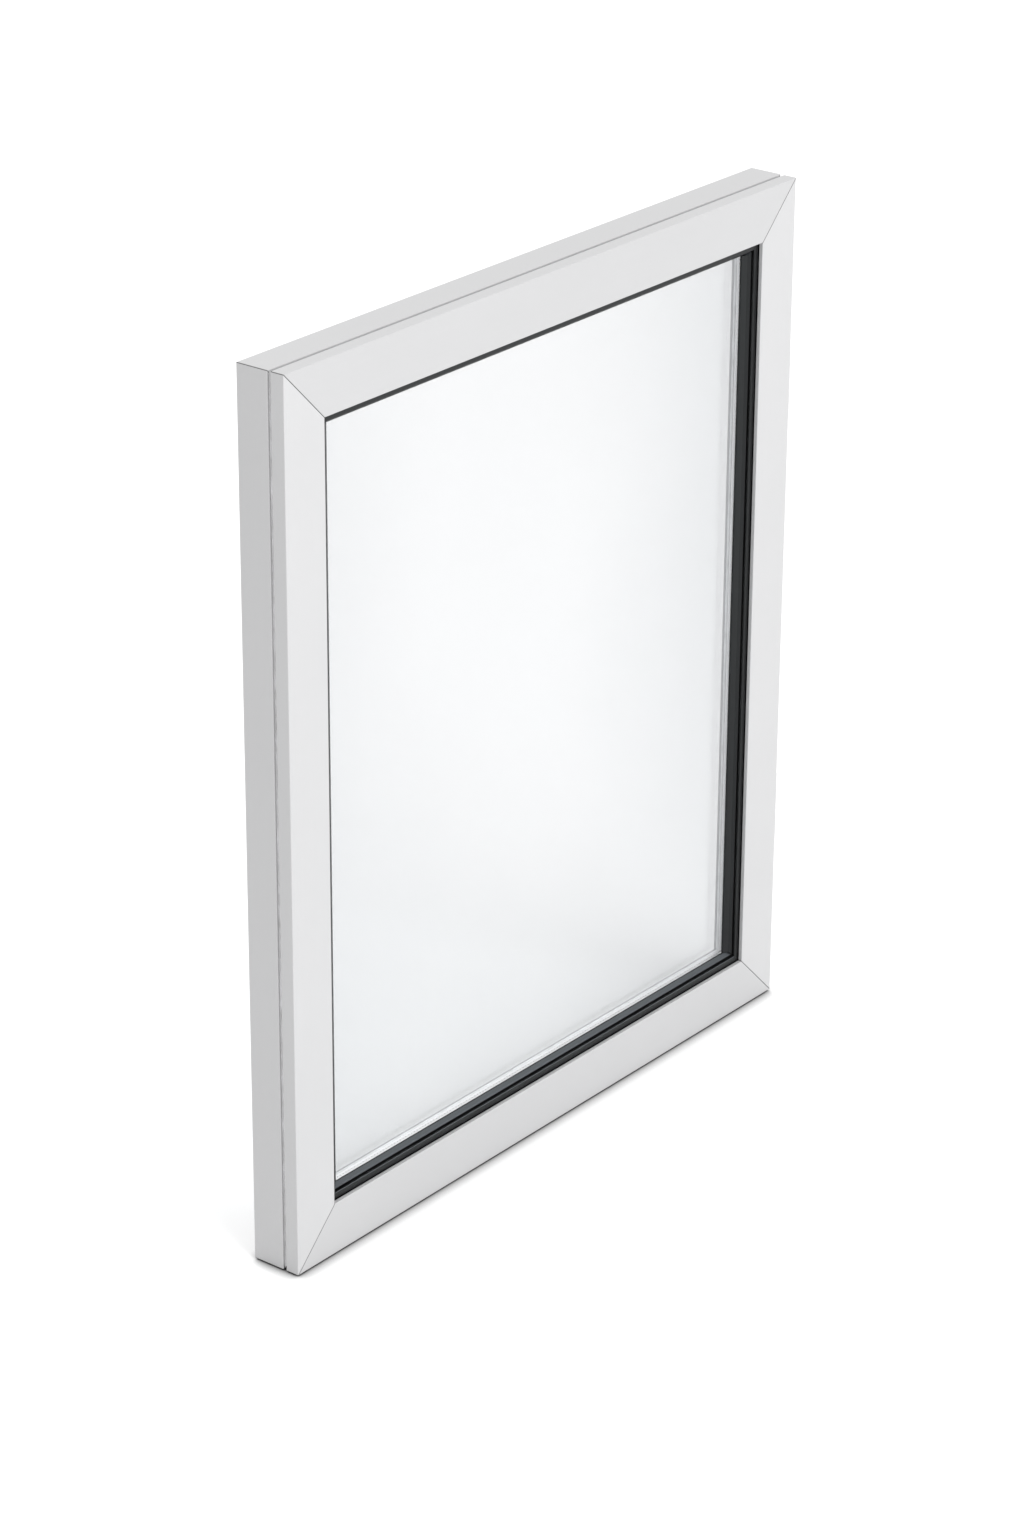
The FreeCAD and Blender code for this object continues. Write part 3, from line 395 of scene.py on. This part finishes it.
SOFTENED = {  # width of the rounded edge on each kind of hardware
    "hinge_frame_wing": 0.0004,
    "hinge_leaf_wing": 0.0004,
    "hinge_pin": 0.0005,
    "keep": 0.0003,
    "stay_track": 0.0002,
    "stay_arm": 0.0003,
    "stay_leaf_bracket": 0.0003,
    "stay_leaf_rivet": 0.0003,
    "stay_slider": 0.0002,
    "drive_rail": 0.0002,
}
SOFTEN_ABOVE = math.radians(50)
WELD_REACH = 0.000002  # the nodes' faces meet edge to edge but don't share their points
BEVEL_STEPS = 2


def soften_edges():
    """Rounds the sharp edges of the hardware a little, so that they catch the light."""
    for name, node in NODES.items():
        for ending, width in SOFTENED.items():
            if name.endswith(ending):
                weld = node.modifiers.new("joined_faces", "WELD")
                weld.merge_threshold = WELD_REACH
                bevel = node.modifiers.new("soft_edges", "BEVEL")
                bevel.width = width
                bevel.segments = BEVEL_STEPS
                bevel.limit_method = "ANGLE"
                bevel.angle_limit = SOFTEN_ABOVE
                bevel.use_clamp_overlap = True
                bevel.harden_normals = True


# Seals

SEAL_WIDTH = 0.005
BULB_STEPS = 14
FOOT = 0.26  # the foot's share of the seal's height
SHOULDER_IN = 0.12  # the foot's sloped shoulder, as shares of the seal's width and height
SHOULDER_UP = 0.04
NECK = 0.12  # from the foot up to the bulb's widest place, as a share of the height
BULB_HALF = 0.36  # the bulb's half width, as a share of the seal's width
BULB_FULLNESS = 0.8  # below 1 the bulb is squarer than a half ellipse


def bulb_section(insets, depths):
    """A seal's outline as (inset, y) points: a foot on the frame with sloped shoulders, and a bulb."""
    width = insets[1] - insets[0]
    height = depths[1] - depths[0]
    middle = (insets[0] + insets[1]) / 2
    foot = depths[1] - FOOT * height
    shoulder = foot - SHOULDER_UP * height
    neck = foot - NECK * height
    points = [(insets[0], depths[1]), (insets[0], foot), (insets[0] + SHOULDER_IN * width, shoulder)]
    for step in range(BULB_STEPS + 1):
        angle = math.pi * step / BULB_STEPS
        across = BULB_HALF * width * math.cos(angle)
        rise = (neck - depths[0]) * math.sin(angle) ** BULB_FULLNESS
        points.append((middle - across, neck - rise))
    points += [(insets[1] - SHOULDER_IN * width, shoulder), (insets[1], foot), (insets[1], depths[1])]
    return points


SMOOTH_BELOW = math.radians(35)


def ring_mesh(name, section):
    """Sweeps an (inset, y) outline round the window, mitred at its four corners."""
    mesh = bpy.data.meshes.new(name)
    points = []
    for side_x, side_z in ((-1, 0), (1, 0), (1, 1), (-1, 1)):
        for inset, y in section:
            z = HEIGHT - inset if side_z else inset
            points.append((side_x * (HALF_WIDTH - inset), y, z))
    count = len(section)
    faces = []
    for corner in range(4):
        here = corner * count
        there = (corner + 1) % 4 * count
        for i in range(count):
            j = (i + 1) % count
            faces.append((here + i, there + i, there + j, here + j))
    mesh.from_pydata(points, [], faces)
    mesh.validate()
    work = bmesh.new()
    work.from_mesh(mesh)
    bmesh.ops.recalc_face_normals(work, faces=work.faces)
    work.to_mesh(mesh)
    work.free()
    for face in mesh.polygons:
        face.use_smooth = True
    mesh.set_sharp_from_angle(angle=SMOOTH_BELOW)
    return mesh


def bulb_seal(node, name):
    """A rubber bulb seal in the place of the plain CAD ring, and no larger than it."""
    low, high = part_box(node)
    outer = low[2]
    inner = outer + SEAL_WIDTH
    section = bulb_section((outer, inner), (low[1], high[1]))
    seal = bpy.data.objects.new(name, ring_mesh(name, section))
    bpy.context.scene.collection.objects.link(seal)
    seal.data.materials.append(NODES[node].data.materials[0])
    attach(seal, "frame")
    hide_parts(node)


# Studio

FLOOR_SIZE = 60.0
FLOOR_LIGHT = 0.83
FLOOR_DARK = 0.81
CONTACT_SHADOW_GREY = 0.02
CONTACT_REACH = 0.02  # how far from the window the painted contact shadow reaches
FLOOR_DROP = 0.0022  # the floor lies this far below the window, which leaves a hairline of shadow


def floor():
    """A pale seamless floor just under the window, with a painted contact shadow where it is close to it.
    """
    mesh = bpy.data.meshes.new("floor")
    half = FLOOR_SIZE / 2
    level = -FLOOR_DROP
    corners = [(-half, -half, level), (half, -half, level), (half, half, level), (-half, half, level)]
    mesh.from_pydata(corners, [], [(0, 1, 2, 3)])
    plane = bpy.data.objects.new("floor", mesh)
    bpy.context.scene.collection.objects.link(plane)
    nodes = Nodes("studio_floor")
    grain = nodes.noise(900.0, 2.0)
    colour = nodes.blend(nodes.spread(grain, 0.0, 1.0), grey(FLOOR_DARK), grey(FLOOR_LIGHT))
    # painted shadow: occlusion darkens the floor's colour close to the window
    near = nodes.add("ShaderNodeAmbientOcclusion", Distance=CONTACT_REACH)
    near.samples = 16
    colour = nodes.blend(nodes.spread(near.outputs["AO"], 0.0, 1.0, 0.15, 0.9), grey(CONTACT_SHADOW_GREY), colour)
    plane.data.materials.append(nodes.finish(nodes.principled(colour, 0.55)))


SKY = 1.2
LAMPS = {  # direction it comes from, distance, diameter and power
    "key": (Vector((-0.12, -1.0, 0.5)), 7.5, 6.0, 450.0),
    "fill": (Vector((0.35, 1.0, 0.9)), 7.5, 6.0, 120.0),
}


def lights():
    """A white studio dome, a large soft key light in front and a weaker one behind."""
    world = bpy.data.worlds.new("studio")
    world.use_nodes = True
    back = world.node_tree.nodes["Background"]
    back.inputs["Color"].default_value = (1.0, 1.0, 1.0, 1.0)
    back.inputs["Strength"].default_value = SKY
    bpy.context.scene.world = world
    middle = (Vector(cad_box[0]) + Vector(cad_box[1])) / 2
    for name, (toward, distance, size, power) in LAMPS.items():
        light = bpy.data.lights.new(name, "AREA")
        light.shape = "DISK"
        light.size = size
        light.energy = power
        lamp = bpy.data.objects.new(name, light)
        lamp.location = middle + toward.normalized() * distance
        lamp.rotation_euler = toward.to_track_quat("Z", "Y").to_euler()
        bpy.context.scene.collection.objects.link(lamp)
    bpy.context.scene.view_settings.view_transform = "Standard"


CAMERA_AT = Vector((-3.633, -2.841, 2.512))
CAMERA_YAW = math.radians(51.72)  # from +Y towards +X
CAMERA_PITCH = math.radians(24.09)  # below the horizon
CAMERA_ROLL = math.radians(0.33)
CAMERA_LENS = 103.7


def camera():
    """A camera that looks down on the outside face from its left, without lens shift."""
    forward = Vector(
        (
            math.sin(CAMERA_YAW) * math.cos(CAMERA_PITCH),
            math.cos(CAMERA_YAW) * math.cos(CAMERA_PITCH),
            -math.sin(CAMERA_PITCH),
        )
    )
    level = Vector((math.cos(CAMERA_YAW), -math.sin(CAMERA_YAW), 0.0))
    above = level.cross(forward)
    right = level * math.cos(CAMERA_ROLL) + above * math.sin(CAMERA_ROLL)
    up = above * math.cos(CAMERA_ROLL) - level * math.sin(CAMERA_ROLL)
    turned = Matrix((right, up, -forward)).transposed().to_4x4()
    data = bpy.data.cameras.new("camera")
    data.lens = CAMERA_LENS
    data.clip_end = 100.0
    eye = bpy.data.objects.new("camera", data)
    eye.matrix_world = Matrix.Translation(CAMERA_AT) @ turned
    bpy.context.scene.collection.objects.link(eye)
    bpy.context.scene.camera = eye


dress_frame()
soften_edges()
bulb_seal("frame_outer_seal", "outer_bulb_seal")
bulb_seal("frame_inner_seal", "inner_bulb_seal")
floor()
lights()
camera()
